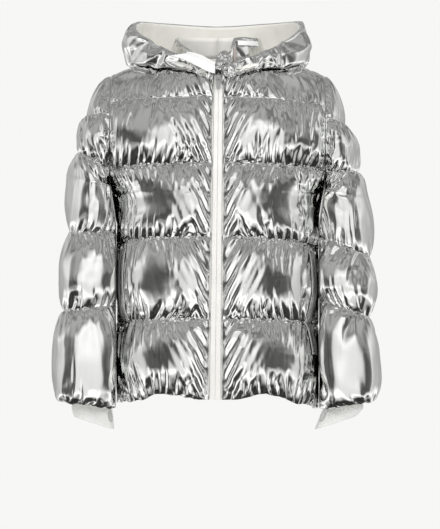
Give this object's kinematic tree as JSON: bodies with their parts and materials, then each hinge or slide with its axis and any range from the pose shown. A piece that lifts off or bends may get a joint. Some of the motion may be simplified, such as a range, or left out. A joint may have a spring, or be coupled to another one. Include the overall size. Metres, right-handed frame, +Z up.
{
  "type": "hooded puffer jacket",
  "caption": "Hip-length quilted puffer jacket in mirror-silver foil cloth, in worn form with the hood down, white front zip and white knitted cuffs with thumb holes.",
  "frame": {"origin": "midway between the shoulders of the wearer, level with the top of the shoulder slope, where a body carries the jacket; there is no solid at this point", "axes": "+X to the wearer's left (the viewer's right), +Y from the front to the back, +Z up along the standing body"},
  "size_m": [0.5938, 0.3564, 0.7576],
  "materials": {
    "foil": "mirror-silver foil on thin woven cloth, creased along the quilting seams",
    "lining": "matt off-white lining cloth",
    "knit": "fine white rib knit",
    "zip_tape": "smooth off-white woven zip tape",
    "hardware": "bright plated zip slider and pull"
  },
  "bodies": {
    "jacket": {"front_right": "foil", "front_left": "foil", "back": "foil", "sleeve_right": "foil", "sleeve_left": "foil", "collar_right": "foil", "collar_left": "foil", "hood_shell": "foil", "hood_lining": "lining", "cuff_right": "knit", "cuff_left": "knit", "zip_tape_right": "zip_tape", "zip_tape_left": "zip_tape", "pocket_zip_right": "zip_tape", "pocket_zip_left": "zip_tape", "slider": "hardware"},
    "pull": {"pull_tab": "hardware"}
  },
  "joints": [
    {"name": "pull_swing", "type": "hinge", "parent": "jacket", "child": "pull", "pos_m": [0.0019, -0.10762, -0.01932], "axis": [-1, 0, 0], "range_deg": [0, 140]}
  ]
}
